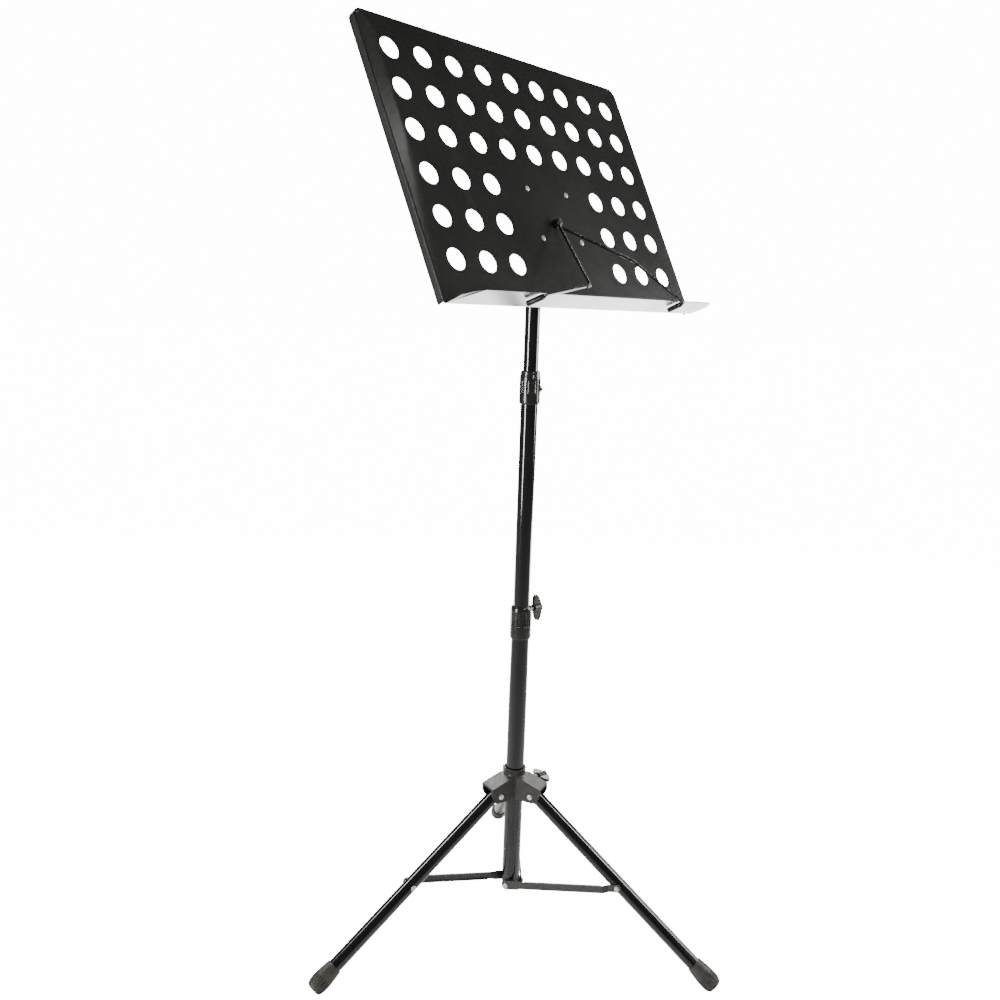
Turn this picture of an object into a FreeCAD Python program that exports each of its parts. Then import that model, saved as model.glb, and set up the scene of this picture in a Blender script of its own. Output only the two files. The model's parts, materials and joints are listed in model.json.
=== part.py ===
import FreeCAD, Part
import math
import os

V = FreeCAD.Vector
os.makedirs("parts", exist_ok=True)

# Frame: +Z up, origin on the floor under the mast's axis, rear leg towards +Y. Millimetres.

# Mast: three telescoping tubes
LOWER_OD, MIDDLE_OD, TOP_OD = 24.2, 21.8, 19.0
TUBE_WALL = 1.0
FIT = 0.05                      # radial running clearance of bushes, pins and shafts
SNUG = 0.02                     # radial gap round pressed and riveted shanks
GAP = 0.3                       # least gap between pieces that move past each other
LOWER_BOTTOM, LOWER_TOP = 72.0, 452.0
MIDDLE_BOTTOM, MIDDLE_TOP = 380.0, 765.0
TOP_BOTTOM, TOP_TOP = 600.0, 930.0
BLOCK_BOTTOM = 57.0             # lowest face of the block in the lower tube's end
PLUG_LENGTH, BLOCK_BORE_R = 22.0, 4.0

# Clutches, as (radius, height) pairs of the turned outline
MIDDLE_CLUTCH = [(13.4, 421.0), (14.3, 423.5), (14.4, 437.0), (14.2, 459.0), (13.6, 463.0), (12.6, 465.5)]
UPPER_CLUTCH = [(12.4, 733.3), (13.2, 735.5), (13.4, 750.0), (13.3, 766.0), (12.6, 770.0), (12.3, 774.0),
                (11.6, 775.5)]
FLUTES = 10
FLUTE_RADIUS, FLUTE_DEPTH = 2.6, 1.4
MIDDLE_FLUTES = (439.5, 458.0)
UPPER_FLUTES = (748.0, 763.0)

# Wing knobs: azimuth of the screw (clockwise from +Y, seen from above), height, roll of the wings
MIDDLE_KNOB = (50.0, 457.5, -8.0)
UPPER_KNOB = (14.0, 762.5, -40.0)
HUB_KNOB = (60.0, 211.4, 91.0)
MIDDLE_STAND_OFF, UPPER_STAND_OFF, HUB_STAND_OFF = 23.0, 21.0, 39.5
KNOB_SPAN, KNOB_DEPTH, KNOB_THICK = 36.0, 14.0, 4.4
SCREW_R, KNOB_CORE_R = 3.0, 5.5

# Hub and legs
ARMS = {"rear": 0.0, "right": 120.0, "left": 240.0}     # azimuth, clockwise from +Y
PIVOT_R, PIVOT_Z = 30.0, 203.4
LEG_ANGLE = 53.3                # open leg, from the vertical
LEG_OD, LEG_WALL = 18.0, 1.2
LEG_TAIL, LEG_TUBE_END = 8.5, 322.0
FOOT_START = 294.5
FOOT_OUTLINE = [(10.2, 0.0), (11.4, 8.0), (12.5, 20.0), (12.5, 27.5), (11.5, 33.5), (9.0, 37.0)]
HUB_BARREL_R, HUB_BORE_R = 16.4, 13.6
HUB_BOTTOM, HUB_SHOULDER, HUB_TOP = 195.0, 226.0, 236.0
ARM_HALF, SLOT_HALF, ARM_REACH = 13.5, 9.6, 44.0
PIN_R, PIN_HEAD_R, PIN_HEAD_HIGH = 2.5, 3.8, 2.0

# Struts: pinned to the block and, at STRUT_ON_LEG from the leg's pivot, to the leg
STRUT_Z = 64.0
STRUT_ON_LEG = 162.0
STRUT_FLAT = 14.0               # distance of the block's bosses from the axis
STRUT_SHEET, STRUT_HIGH = 1.5, 10.0
STRUT_EYE_R, STRUT_TIP_R = 6.3, 5.6
STRUT_FLANGE = 2.0              # how far the channel's flanges stand in from its web
JOGGLE = 4.6                    # how far the outer end is set in towards the leg
RIVET_R, HEAD_R, HEAD_HIGH = 2.0, 3.6, 2.0

# Desk: own axes u (right), w (up the plate), n (out of its face), from the tilt axis
TILT_Z = 950.0
SWIVEL, TILT = 45.0, 26.0
FACE_N = 32.0                   # front face of the plate, in front of the tilt axis
SHEET = 1.2
DESK_HALF, DESK_TOP, DESK_BEND = 239.0, 221.5, -123.0
RIM, TOP_CORNER_R, FOLD_R = 10.0, 14.0, 1.8
SHELF_DEPTH, SHELF_DROOP, SHELF_CORNER_R, BEND_R = 42.0, 5.0, 24.0, 2.0
FOOT_W = DESK_BEND + BEND_R + SHEET     # where the flat of the plate ends and the shelf's bend starts
HOLE_R, HOLE_PITCH, HOLE_EASE = 13.0, 50.0, 0.3
FULL_ROWS = [180.0, 131.0, 82.0]
SHORT_ROWS = [30.0, -20.0, -70.0]
RIVET_U, RIVET_W = 37.3, 32.3
BRACKET_HALF_U, BRACKET_HALF_W, BRACKET_SHEET = 47.0, 42.0, 2.0
CHEEK_IN, CHEEK_T, CHEEK_R = 6.5, 2.5, 12.0
STUD_U, STUD_W, STUD_R, STUD_HEAD_R, STUD_CLEAR_R = -6.0, -12.0, 2.4, 4.4, 4.6
BOLT_R, BOLT_HEAD_R = 3.0, 6.5
WIRE_R, SLEEVE_R, SLEEVE_GAP = 1.5, 3.3, 3.2    # gap: from the wire's last bend to its sleeve


def save(shape, name):
    shape.exportStep("parts/" + name + ".step")


def rod(start, end, radius):
    """Solid round bar between two points."""
    a, b = V(*start), V(*end)
    return Part.makeCylinder(radius, (b - a).Length, a, b - a)


def tube(start, end, outer, inner):
    """Pipe between two points."""
    a, b = V(*start), V(*end)
    step = (b - a).normalize()
    return rod(start, end, outer).cut(Part.makeCylinder(inner, (V(*end) - a).Length + 2, a - step, step))


def turned(outline, bore):
    """Ring turned about Z from (radius, height) pairs, bored through."""
    points = [V(bore, 0, outline[0][1])] + [V(r, 0, z) for r, z in outline] + [V(bore, 0, outline[-1][1])]
    face = Part.Face(Part.makePolygon(points + [points[0]]))
    return face.revolve(V(0, 0, 0), V(0, 0, 1), 360)


def spun(outline, start, direction):
    """Solid turned from (radius, distance) corners round an axis through start."""
    points = [V(r, 0, d) for r, d in outline]
    body = Part.Face(Part.makePolygon(points + [points[0]])).revolve(V(0, 0, 0), V(0, 0, 1), 360)
    body.Placement = FreeCAD.Placement(V(*start), FreeCAD.Rotation(V(0, 0, 1), direction))
    return body


def about_z(shape, azimuth):
    """Turn a shape built along +X to an azimuth counted clockwise from +Y."""
    turned_shape = shape.copy()
    turned_shape.rotate(V(0, 0, 0), V(0, 0, 1), 90.0 - azimuth)
    return turned_shape


def polygon_prism(points, thickness, plane):
    """Prism of an outline: plane 'xz' is extruded along +Y, plane 'xy' along +Z."""
    if plane == "xz":
        corners = [V(a, 0, b) for a, b in points]
        along = V(0, thickness, 0)
    else:
        corners = [V(a, b, 0) for a, b in points]
        along = V(0, 0, thickness)
    return Part.Face(Part.makePolygon(corners + [corners[0]])).extrude(along)


# ---- mast ----

def lower_tube():
    return tube((0, 0, LOWER_BOTTOM), (0, 0, LOWER_TOP), LOWER_OD / 2, LOWER_OD / 2 - TUBE_WALL)


def end_block():
    """Block in the lower tube's end, with a boss for each strut."""
    body = rod((0, 0, BLOCK_BOTTOM), (0, 0, LOWER_BOTTOM), LOWER_OD / 2)
    plug_r = LOWER_OD / 2 - TUBE_WALL - FIT
    body = body.fuse(rod((0, 0, LOWER_BOTTOM), (0, 0, LOWER_BOTTOM + PLUG_LENGTH), plug_r))
    for azimuth in ARMS.values():
        boss = rod((0, 0, STRUT_Z), (0, -STRUT_FLAT, STRUT_Z), STRUT_TIP_R)
        hole = rod((0, -LOWER_OD / 4, STRUT_Z), (0, -STRUT_FLAT - 1, STRUT_Z), RIVET_R + SNUG)
        body = body.fuse(about_z(boss, azimuth))
        body = body.cut(about_z(hole, azimuth))
    return body.cut(rod((0, 0, BLOCK_BOTTOM - 1), (0, 0, LOWER_BOTTOM + PLUG_LENGTH + 1), BLOCK_BORE_R))


def fluted(outline, bore, span):
    """Turned clutch body with upright flutes between two heights."""
    body = turned(outline, bore)
    reach = max(r for r, _ in outline) + FLUTE_RADIUS - FLUTE_DEPTH
    for index in range(FLUTES):
        angle = math.radians(360.0 / FLUTES * index)
        x, y = reach * math.cos(angle), reach * math.sin(angle)
        cutter = rod((x, y, span[0]), (x, y, span[1]), FLUTE_RADIUS)
        cutter = cutter.fuse(Part.makeSphere(FLUTE_RADIUS, V(x, y, span[0])))
        cutter = cutter.fuse(Part.makeSphere(FLUTE_RADIUS, V(x, y, span[1])))
        body = body.cut(cutter)
    return body


def screw_hole(shape, knob, reach):
    """Drill the radial hole of a knob's screw."""
    azimuth, height, _ = knob
    drill = rod((2, 0, height), (reach, 0, height), SCREW_R + FIT)
    return shape.cut(about_z(drill, azimuth))


def clutch(outline, flutes, knob, tube_od, seat_top, inner_od):
    """Clutch body: a socket on the outer tube's end below, a bush seat above it."""
    body = fluted(outline, inner_od / 2 + GAP, flutes)
    body = body.cut(rod((0, 0, outline[0][1] - 1), (0, 0, seat_top), tube_od / 2 + FIT))
    return screw_hole(body, knob, 40)


def bush(outer_od, inner_od, bottom, top, knob):
    """Plastic guide bush in the end of an outer tube, around the inner one."""
    body = tube((0, 0, bottom), (0, 0, top), outer_od / 2 - TUBE_WALL - SNUG, inner_od / 2 + FIT)
    if knob:
        body = screw_hole(body, knob, 40)
    return body


def glide(outer_od, inner_od, bottom):
    """Plug in the bottom end of an inner tube that guides it in the outer one."""
    flange = rod((0, 0, bottom - 4), (0, 0, bottom), outer_od / 2 - TUBE_WALL - FIT)
    plug = rod((0, 0, bottom), (0, 0, bottom + 14), inner_od / 2 - TUBE_WALL - SNUG)
    return flange.fuse(plug)


def drilled_tube(bottom, top, diameter):
    return tube((0, 0, bottom), (0, 0, top), diameter / 2, diameter / 2 - TUBE_WALL)


# ---- wing knobs ----

def knob_pair(knob, inner_r, stand_off):
    """Wing knob and its screw, whose tip stops at inner_r from the mast's axis."""
    azimuth, height, roll = knob
    near = stand_off
    far = near + KNOB_DEPTH
    centre = near + KNOB_DEPTH / 2
    half = KNOB_SPAN / 2
    side = [(near, 0.25), (near + 1.2, 0.7), (near + 3.5, 0.94), (near + 6.5, 1.0), (far - 4.5, 0.86),
            (far - 1.2, 0.5), (far, 0.18)]
    leaf = [(x, share * half) for x, share in side] + [(x, -share * half) for x, share in side[::-1]]
    wings = polygon_prism([(x, height + z) for x, z in leaf], KNOB_THICK, "xz")
    wings.translate(V(0, -KNOB_THICK / 2, 0))
    core = rod((near, 0, height), (far - 1, 0, height), KNOB_CORE_R)
    body = wings.fuse(core)
    screw = rod((inner_r, 0, height), (far - 3, 0, height), SCREW_R)
    body = body.cut(rod((near - 1, 0, height), (far - 3, 0, height), SCREW_R + SNUG))
    body.rotate(V(centre, 0, height), V(1, 0, 0), roll)
    return about_z(body, azimuth), about_z(screw, azimuth)


# ---- hub ----

def hub_body():
    """Three-armed casting that carries the legs' pivots, with a collar on top."""
    collar = [(HUB_BARREL_R, HUB_BOTTOM), (HUB_BARREL_R, HUB_SHOULDER - 1), (14.6, HUB_SHOULDER + 1.5),
              (14.4, HUB_TOP - 5), (15.4, HUB_TOP - 2), (15.2, HUB_TOP)]
    body = turned(collar, HUB_BORE_R)
    side = [(0, HUB_BOTTOM), (36, HUB_BOTTOM), (ARM_REACH - 3, 201), (ARM_REACH, 208), (ARM_REACH, 217),
            (HUB_BARREL_R, HUB_SHOULDER), (0, HUB_SHOULDER)]
    slot = [(17.2, HUB_BOTTOM - 2), (ARM_REACH + 5, HUB_BOTTOM - 2), (ARM_REACH + 5, 213), (17.2, 220.5)]
    for azimuth in ARMS.values():
        arm = polygon_prism(side, 2 * ARM_HALF, "xz")
        arm.translate(V(0, -ARM_HALF, 0))
        body = body.fuse(about_z(arm, azimuth))
    for azimuth in ARMS.values():
        gap = polygon_prism(slot, 2 * SLOT_HALF, "xz")
        gap.translate(V(0, -SLOT_HALF, 0))
        pin = rod((PIVOT_R, -ARM_HALF - 1, PIVOT_Z), (PIVOT_R, ARM_HALF + 1, PIVOT_Z), PIN_R + SNUG)
        body = body.cut(about_z(gap, azimuth))
        body = body.cut(about_z(pin, azimuth))
    body = body.cut(rod((0, 0, HUB_BOTTOM - 1), (0, 0, HUB_TOP + 1), HUB_BORE_R))
    boss = about_z(rod((14.5, 0, HUB_KNOB[1]), (21, 0, HUB_KNOB[1]), 7.0), HUB_KNOB[0])
    body = body.fuse(boss)
    return screw_hole(body, HUB_KNOB, 40).removeSplitter()


def hub_bush():
    body = tube((0, 0, HUB_BOTTOM + 1), (0, 0, HUB_TOP - 3), HUB_BORE_R - SNUG, LOWER_OD / 2 + FIT)
    return screw_hole(body, HUB_KNOB, 40)


def headed_pin(x, z, y_from, y_to, radius, head_r, head_t, azimuth):
    """Rivet across an arm: a shank between two heights of y, with a domed head at each end given."""
    pin = rod((x, y_from, z), (x, y_to, z), radius)
    pin = pin.fuse(domed_head(x, z, y_to, 1, head_r, head_t))
    pin = pin.fuse(domed_head(x, z, y_from, -1, head_r, head_t))
    return about_z(pin, azimuth)


def domed_head(x, z, y, side, head_r, head_t):
    """Low cone-topped rivet head that stands out along +Y or -Y."""
    base = Part.makeCylinder(head_r, head_t * 0.5, V(x, y, z), V(0, side, 0))
    top = Part.makeCone(head_r, head_r * 0.6, head_t * 0.5, V(x, y + side * head_t * 0.5, z), V(0, side, 0))
    return base.fuse(top)


def leg_pins():
    pins = [headed_pin(PIVOT_R, PIVOT_Z, -ARM_HALF, ARM_HALF, PIN_R, PIN_HEAD_R, PIN_HEAD_HIGH, a) for a in ARMS.values()]
    return Part.makeCompound(pins)


# ---- legs ----

def on_leg(distance, across=0.0):
    """Point in the arm's XZ plane, a distance down the leg and a distance above its axis."""
    angle = math.radians(LEG_ANGLE)
    x = PIVOT_R + distance * math.sin(angle) + across * math.cos(angle)
    z = PIVOT_Z - distance * math.cos(angle) + across * math.sin(angle)
    return x, z


def leg_rod(start, end, radius):
    (x0, z0), (x1, z1) = on_leg(start), on_leg(end)
    return rod((x0, 0, z0), (x1, 0, z1), radius)


def leg_tube():
    body = leg_rod(-LEG_TAIL, LEG_TUBE_END, LEG_OD / 2)
    body = body.cut(leg_rod(-LEG_TAIL - 1, LEG_TUBE_END + 1, LEG_OD / 2 - LEG_WALL))
    x, z = on_leg(STRUT_ON_LEG)
    body = body.cut(rod((PIVOT_R, -20, PIVOT_Z), (PIVOT_R, 20, PIVOT_Z), PIN_R + FIT))
    return body.cut(rod((x, -20, z), (x, 20, z), RIVET_R + SNUG))


def foot():
    """Rubber foot: a bulged sleeve over the leg's end, with a flat where it stands."""
    (x, z), (x_end, z_end) = on_leg(FOOT_START), on_leg(FOOT_START + FOOT_OUTLINE[-1][1])
    outline = [(0, 0)] + FOOT_OUTLINE + [(0, FOOT_OUTLINE[-1][1])]
    body = spun(outline, (x, 0, z), V(x_end - x, 0, z_end - z))
    body = body.cut(leg_rod(FOOT_START - 1, LEG_TUBE_END, LEG_OD / 2 + SNUG))
    return body.cut(Part.makeBox(200, 100, 50, V(200, -50, -50)))


def leg_rivet():
    """Rivet through the leg, whose far end meets the strut's own rivet."""
    x, z = on_leg(STRUT_ON_LEG)
    shank = rod((x, -LEG_OD / 2 - 0.2, z), (x, LEG_OD / 2, z), RIVET_R)
    return shank.fuse(domed_head(x, z, LEG_OD / 2, 1, HEAD_R, HEAD_HIGH))


# ---- struts ----

def strut_ends():
    """Inner and outer pivot of a strut in its arm's XZ plane, with its length and slope."""
    x, z = on_leg(STRUT_ON_LEG)
    length = math.hypot(x, z - STRUT_Z)
    return length, math.degrees(math.atan2(z - STRUT_Z, x))


def strut():
    """Pressed channel with a flat round eye at each end; the outer end is set in to the leg."""
    length, slope = strut_ends()
    web_in = -STRUT_FLAT - GAP
    web_out = web_in - STRUT_SHEET
    half = STRUT_HIGH / 2
    eye_end, taper_end, flange_start = 16.0, 22.0, 30.0
    bend_start, bend_end = length - 19.0, length - 12.0
    flange_end = bend_start - 1.0

    def plate(x0, x1, inner, outer, high):
        return Part.makeBox(x1 - x0, abs(outer - inner), 2 * high, V(x0, min(inner, outer), -high))

    body = rod((0, web_in, 0), (0, web_out, 0), STRUT_EYE_R)
    body = body.fuse(plate(0, eye_end, web_in, web_out, STRUT_EYE_R))
    taper = polygon_prism([(eye_end, -STRUT_EYE_R), (taper_end, -half), (taper_end, half),
                           (eye_end, STRUT_EYE_R)], STRUT_SHEET, "xz")
    taper.translate(V(0, web_out, 0))
    body = body.fuse(taper)
    body = body.fuse(plate(taper_end, bend_start, web_in, web_out, half))
    for side in (-1, 1):
        low = half - STRUT_SHEET if side > 0 else -half
        flange = Part.makeBox(flange_end - flange_start, STRUT_FLANGE + STRUT_SHEET, STRUT_SHEET,
                              V(flange_start, web_out, low))
        body = body.fuse(flange)
    joggle = polygon_prism([(bend_start, web_out), (bend_start, web_in), (bend_end, web_in + JOGGLE),
                            (bend_end, web_out + JOGGLE)], STRUT_HIGH, "xy")
    joggle.translate(V(0, 0, -half))
    body = body.fuse(joggle)
    body = body.fuse(plate(bend_end, length, web_in + JOGGLE, web_out + JOGGLE, half))
    body = body.fuse(rod((length, web_in + JOGGLE, 0), (length, web_out + JOGGLE, 0), STRUT_TIP_R))
    body = body.cut(rod((0, -30, 0), (0, 0, 0), RIVET_R + FIT))
    body = body.cut(rod((length, -30, 0), (length, 0, 0), RIVET_R + SNUG))
    body = body.removeSplitter()
    body.rotate(V(0, 0, 0), V(0, 1, 0), -slope)
    body.translate(V(0, 0, STRUT_Z))
    return body


def strut_inner_rivets():
    rivets = []
    for azimuth in ARMS.values():
        seat = -STRUT_FLAT - GAP - STRUT_SHEET - GAP
        shank = rod((0, -LOWER_OD / 4 - 0.5, STRUT_Z), (0, seat, STRUT_Z), RIVET_R)
        rivets.append(about_z(shank.fuse(domed_head(0, STRUT_Z, seat, -1, HEAD_R, HEAD_HIGH)), azimuth))
    return Part.makeCompound(rivets)


def strut_outer_rivet():
    """Short rivet fixed in the strut's outer eye; it stops short of the leg."""
    x, z = on_leg(STRUT_ON_LEG)
    eye_in = -STRUT_FLAT - GAP + JOGGLE
    eye_out = eye_in - STRUT_SHEET
    shank = rod((x, eye_in + 0.1, z), (x, eye_out, z), RIVET_R)
    return shank.fuse(domed_head(x, z, eye_out, -1, HEAD_R, HEAD_HIGH))


# ---- desk, modelled upright (u = X, face towards -Y, w = Z) and then tilted and swivelled ----

def place_desk(shape, tilted=True):
    placed = shape.copy()
    if tilted:
        placed.rotate(V(0, 0, 0), V(1, 0, 0), -TILT)
    placed.translate(V(0, 0, TILT_Z))
    placed.rotate(V(0, 0, 0), V(0, 0, 1), SWIVEL)
    return placed


def face_prism(u0, u1, w0, w1, n0, n1):
    """Box between two distances n in front of the tilt axis."""
    return Part.makeBox(u1 - u0, n1 - n0, w1 - w0, V(u0, -n1, w0))


def desk_outline(inset, bottom):
    """Plate outline with round top corners, as a face at n = 0."""
    half, top = DESK_HALF - inset, DESK_TOP - inset
    radius = TOP_CORNER_R - inset
    k = radius * (1 - math.sqrt(0.5))
    edges = [Part.LineSegment(V(-half, 0, bottom), V(-half, 0, top - radius)).toShape(),
             Part.Arc(V(-half, 0, top - radius), V(-half + k, 0, top - k), V(-half + radius, 0, top)).toShape(),
             Part.LineSegment(V(-half + radius, 0, top), V(half - radius, 0, top)).toShape(),
             Part.Arc(V(half - radius, 0, top), V(half - k, 0, top - k), V(half, 0, top - radius)).toShape(),
             Part.LineSegment(V(half, 0, top - radius), V(half, 0, bottom)).toShape(),
             Part.LineSegment(V(half, 0, bottom), V(-half, 0, bottom)).toShape()]
    return Part.Face(Part.Wire(edges))


def shelf_profile():
    """Bent sheet from the plate's foot to the shelf's front edge, as a face at u = 0."""
    droop = math.radians(SHELF_DROOP)
    outer = BEND_R + SHEET
    centre_n = FACE_N + BEND_R
    centre_w = DESK_BEND + outer
    turn = math.pi / 2 - droop
    along = (math.cos(droop), -math.sin(droop))

    def at(radius, angle):
        """Point round the bend: angle 0 is the plate side, turn is the shelf side."""
        return V(0, -(centre_n - radius * math.cos(angle)), centre_w - radius * math.sin(angle))

    reach = SHELF_DEPTH - BEND_R
    tip_top = at(BEND_R, turn) + V(0, -reach * along[0], reach * along[1])
    tip_low = at(outer, turn) + V(0, -reach * along[0], reach * along[1])
    edges = [Part.Arc(at(BEND_R, 0), at(BEND_R, turn / 2), at(BEND_R, turn)).toShape(),
             Part.LineSegment(at(BEND_R, turn), tip_top).toShape(),
             Part.LineSegment(tip_top, tip_low).toShape(),
             Part.LineSegment(tip_low, at(outer, turn)).toShape(),
             Part.Arc(at(outer, turn), at(outer, turn / 2), at(outer, 0)).toShape(),
             Part.LineSegment(at(outer, 0), at(BEND_R, 0)).toShape()]
    return Part.Face(Part.Wire(edges))


def rounded_slab(inset, bottom, depth, radius):
    """The plate's outline as a slab, its front edges rounded except along the bottom."""
    slab = desk_outline(inset, bottom).extrude(V(0, -depth, 0))
    front = [e for e in slab.Edges if e.BoundBox.YMax < 0.01 - depth and e.BoundBox.ZMax > bottom + 1]
    return slab.makeFillet(radius, front)


def desk_tray():
    """The bent sheet of the plate and its rim, without holes."""
    body = rounded_slab(0, FOOT_W, RIM, FOLD_R)
    body = body.cut(rounded_slab(SHEET, FOOT_W - 5, RIM - SHEET, FOLD_R - SHEET))
    body.translate(V(0, -(FACE_N - RIM), 0))
    return body


def flat_field():
    """Prism over the flat of the plate, inside its folds."""
    field = desk_outline(FOLD_R + 0.2, FOOT_W - 1).extrude(V(0, -(RIM + 2), 0))
    field.translate(V(0, -(FACE_N - RIM), 0))
    return field


def desk_rim():
    """Rim folded back from the plate's sides and top."""
    return desk_tray().cut(flat_field())


def desk_plate():
    """Perforated flat of the desk; its rim and shelf are the same sheet, kept as nodes of their own."""
    body = desk_tray().common(flat_field())
    holes = []
    for w in FULL_ROWS:
        holes += [(column * HOLE_PITCH, w) for column in range(-4, 5)]
    for w in SHORT_ROWS:
        holes += [(column * HOLE_PITCH, w) for column in (-4, -3, -2, 2, 3, 4)]
    for u, w in holes:
        body = body.cut(Part.makeCylinder(HOLE_R, 6, V(u, -FACE_N - 2, w), V(0, 1, 0)))
        body = body.cut(Part.makeCone(HOLE_R + HOLE_EASE, HOLE_R, HOLE_EASE, V(u, -FACE_N, w), V(0, 1, 0)))
    for u in (-RIVET_U, RIVET_U):
        for w in (-RIVET_W, RIVET_W):
            body = body.cut(Part.makeCylinder(RIVET_R + SNUG, 6, V(u, -FACE_N - 2, w), V(0, 1, 0)))
    body = body.cut(Part.makeCylinder(STUD_R + SNUG, 6, V(STUD_U, -FACE_N - 2, STUD_W), V(0, 1, 0)))
    return body


def desk_shelf():
    """Shelf bent forward out of the plate's foot."""
    shelf = shelf_profile().extrude(V(2 * DESK_HALF, 0, 0))
    shelf.translate(V(-DESK_HALF, 0, 0))
    return shelf.common(shelf_plan())


def shelf_plan():
    """Prism over the shelf's plan, which rounds its two front corners."""
    half, radius = DESK_HALF, SHELF_CORNER_R
    back = -(FACE_N - SHEET)
    front = -(FACE_N + SHELF_DEPTH)
    k = radius * (1 - math.sqrt(0.5))
    z = DESK_BEND - 30
    edges = [Part.LineSegment(V(-half, back, z), V(-half, front + radius, z)).toShape(),
             Part.Arc(V(-half, front + radius, z), V(-half + k, front + k, z), V(-half + radius, front, z)).toShape(),
             Part.LineSegment(V(-half + radius, front, z), V(half - radius, front, z)).toShape(),
             Part.Arc(V(half - radius, front, z), V(half - k, front + k, z), V(half, front + radius, z)).toShape(),
             Part.LineSegment(V(half, front + radius, z), V(half, back, z)).toShape(),
             Part.LineSegment(V(half, back, z), V(-half, back, z)).toShape()]
    return Part.Face(Part.Wire(edges)).extrude(V(0, 0, 60))


def desk_bracket():
    """Pressed bracket behind the plate, with two cheeks that take the tilt bolt."""
    base_n = FACE_N - SHEET - 0.05
    body = face_prism(-BRACKET_HALF_U, BRACKET_HALF_U, -BRACKET_HALF_W, BRACKET_HALF_W,
                      base_n - BRACKET_SHEET, base_n)
    for side in (-1, 1):
        inner = side * CHEEK_IN if side > 0 else -CHEEK_IN - CHEEK_T
        outline = [(0, -CHEEK_R), (-13.5, -CHEEK_R), (-base_n + BRACKET_SHEET, -22),
                   (-base_n + BRACKET_SHEET, 22), (-13.5, CHEEK_R), (0, CHEEK_R)]
        corners = [V(inner, y, z) for y, z in outline]
        cheek = Part.Face(Part.makePolygon(corners + [corners[0]])).extrude(V(CHEEK_T, 0, 0))
        cheek = cheek.fuse(Part.makeCylinder(CHEEK_R, CHEEK_T, V(inner, 0, 0), V(1, 0, 0)))
        body = body.fuse(cheek)
    body = body.cut(Part.makeCylinder(BOLT_R + FIT, 60, V(-30, 0, 0), V(1, 0, 0)))
    for u in (-RIVET_U, RIVET_U):
        for w in (-RIVET_W, RIVET_W):
            body = body.cut(Part.makeCylinder(RIVET_R + SNUG, 8, V(u, -base_n - 2, w), V(0, 1, 0)))
    body = body.cut(Part.makeCylinder(STUD_CLEAR_R, 8, V(STUD_U, -base_n - 2, STUD_W), V(0, 1, 0)))
    return body.removeSplitter()


def desk_rivets():
    rivets = []
    back = -(FACE_N - SHEET - 0.05 - BRACKET_SHEET)
    for u in (-RIVET_U, RIVET_U):
        for w in (-RIVET_W, RIVET_W):
            shank = rod((u, -FACE_N, w), (u, back, w), RIVET_R)
            shank = shank.fuse(domed_head(u, w, -FACE_N, -1, 3.6, 1.6))
            rivets.append(shank.fuse(domed_head(u, w, back, 1, 3.2, 1.4)))
    return Part.makeCompound(rivets)


def tilt_head():
    """Knuckle on the top rod: a socket below and a round tongue between the bracket's cheeks."""
    socket = rod((0, 0, -46), (0, 0, -15.5), 12.5)
    tongue = Part.makeCylinder(13.0, 2 * (CHEEK_IN - GAP), V(-CHEEK_IN + GAP, 0, 0), V(1, 0, 0))
    neck = Part.makeBox(2 * (CHEEK_IN - GAP), 20, 18, V(-CHEEK_IN + GAP, -10, -17))
    body = socket.fuse(tongue).fuse(neck)
    body = body.cut(rod((0, 0, -47), (0, 0, TOP_TOP - TILT_Z), TOP_OD / 2 + FIT))
    return body.cut(Part.makeCylinder(BOLT_R + SNUG, 60, V(-30, 0, 0), V(1, 0, 0))).removeSplitter()


def tilt_bolt():
    """Bolt through the cheeks: a flat round head on the left, a thread for the wing nut on the right."""
    head_face = -(CHEEK_IN + CHEEK_T + 1.4)
    shank = rod((head_face, 0, 0), (24.0, 0, 0), BOLT_R)
    return shank.fuse(rod((head_face - 3.5, 0, 0), (head_face, 0, 0), BOLT_HEAD_R))


def tilt_washers():
    """A washer outside each cheek."""
    rings = []
    for side in (-1, 1):
        start, end = side * (CHEEK_IN + CHEEK_T + 0.3), side * (CHEEK_IN + CHEEK_T + 1.3)
        rings.append(tube((start, 0, 0), (end, 0, 0), 8.0, BOLT_R + SNUG))
    return Part.makeCompound(rings)


def tilt_wing_nut():
    near = CHEEK_IN + CHEEK_T + 1.6
    core = rod((near, 0, 0), (near + 9, 0, 0), 6.0)
    leaf = [(near + 3, -16), (near + 11, -19), (near + 14, -13), (near + 9, 0), (near + 14, 13),
            (near + 11, 19), (near + 3, 16), (near + 1, 0)]
    wings = polygon_prism(leaf, 4.0, "xz")
    wings.translate(V(0, -2.0, 0))
    body = core.fuse(wings)
    return body.cut(rod((near - 1, 0, 0), (near + 13, 0, 0), BOLT_R + FIT))


# ---- page arms, in the desk's upright frame ----

def desk_point(u, w, front):
    """Point a distance in front of the plate's face."""
    return (u, -(FACE_N + front), w)


def arm_stud():
    """Shouldered stud on the plate's middle that both arms turn on."""
    back, face = desk_point(STUD_U, STUD_W, -3.0), desk_point(STUD_U, STUD_W, 0)
    tip = desk_point(STUD_U, STUD_W, 8.3)
    tail = desk_point(STUD_U, STUD_W, -SHEET - 1.2)
    head = desk_point(STUD_U, STUD_W, 9.8)
    body = rod(back, tip, STUD_R)
    body = body.fuse(rod(back, tail, STUD_CLEAR_R - 0.4))
    body = body.fuse(rod(face, desk_point(STUD_U, STUD_W, 0.5), STUD_HEAD_R))
    return body.fuse(rod(tip, head, STUD_HEAD_R))


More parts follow.
